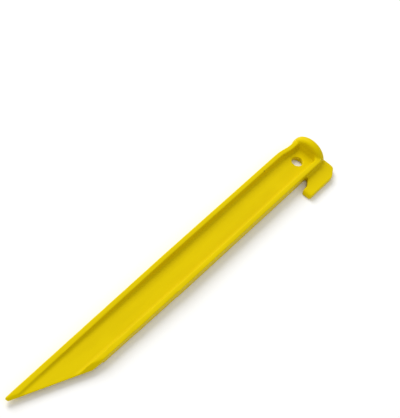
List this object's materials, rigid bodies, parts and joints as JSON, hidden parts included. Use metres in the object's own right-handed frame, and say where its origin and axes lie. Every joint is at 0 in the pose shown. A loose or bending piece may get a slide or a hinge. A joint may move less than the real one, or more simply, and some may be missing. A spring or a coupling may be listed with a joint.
{
  "type": "tent stake",
  "caption": "Flat-backed moulded ground stake with two side flanges, a slanted point, a round striking head, a line eye and a side cord hook.",
  "frame": {"origin": "centre of the bounding box in X and Y, at the flat back it lies on", "axes": "+Y along the stake from the point to the striking head, +Z out of the open face, +X towards the cord hook"},
  "size_m": [0.0384, 0.3048, 0.0152],
  "materials": {
    "stake_plastic": "satin, fine moulded grain"
  },
  "bodies": {
    "root": {"stake_moulding": "stake_plastic"}
  },
  "joints": []
}
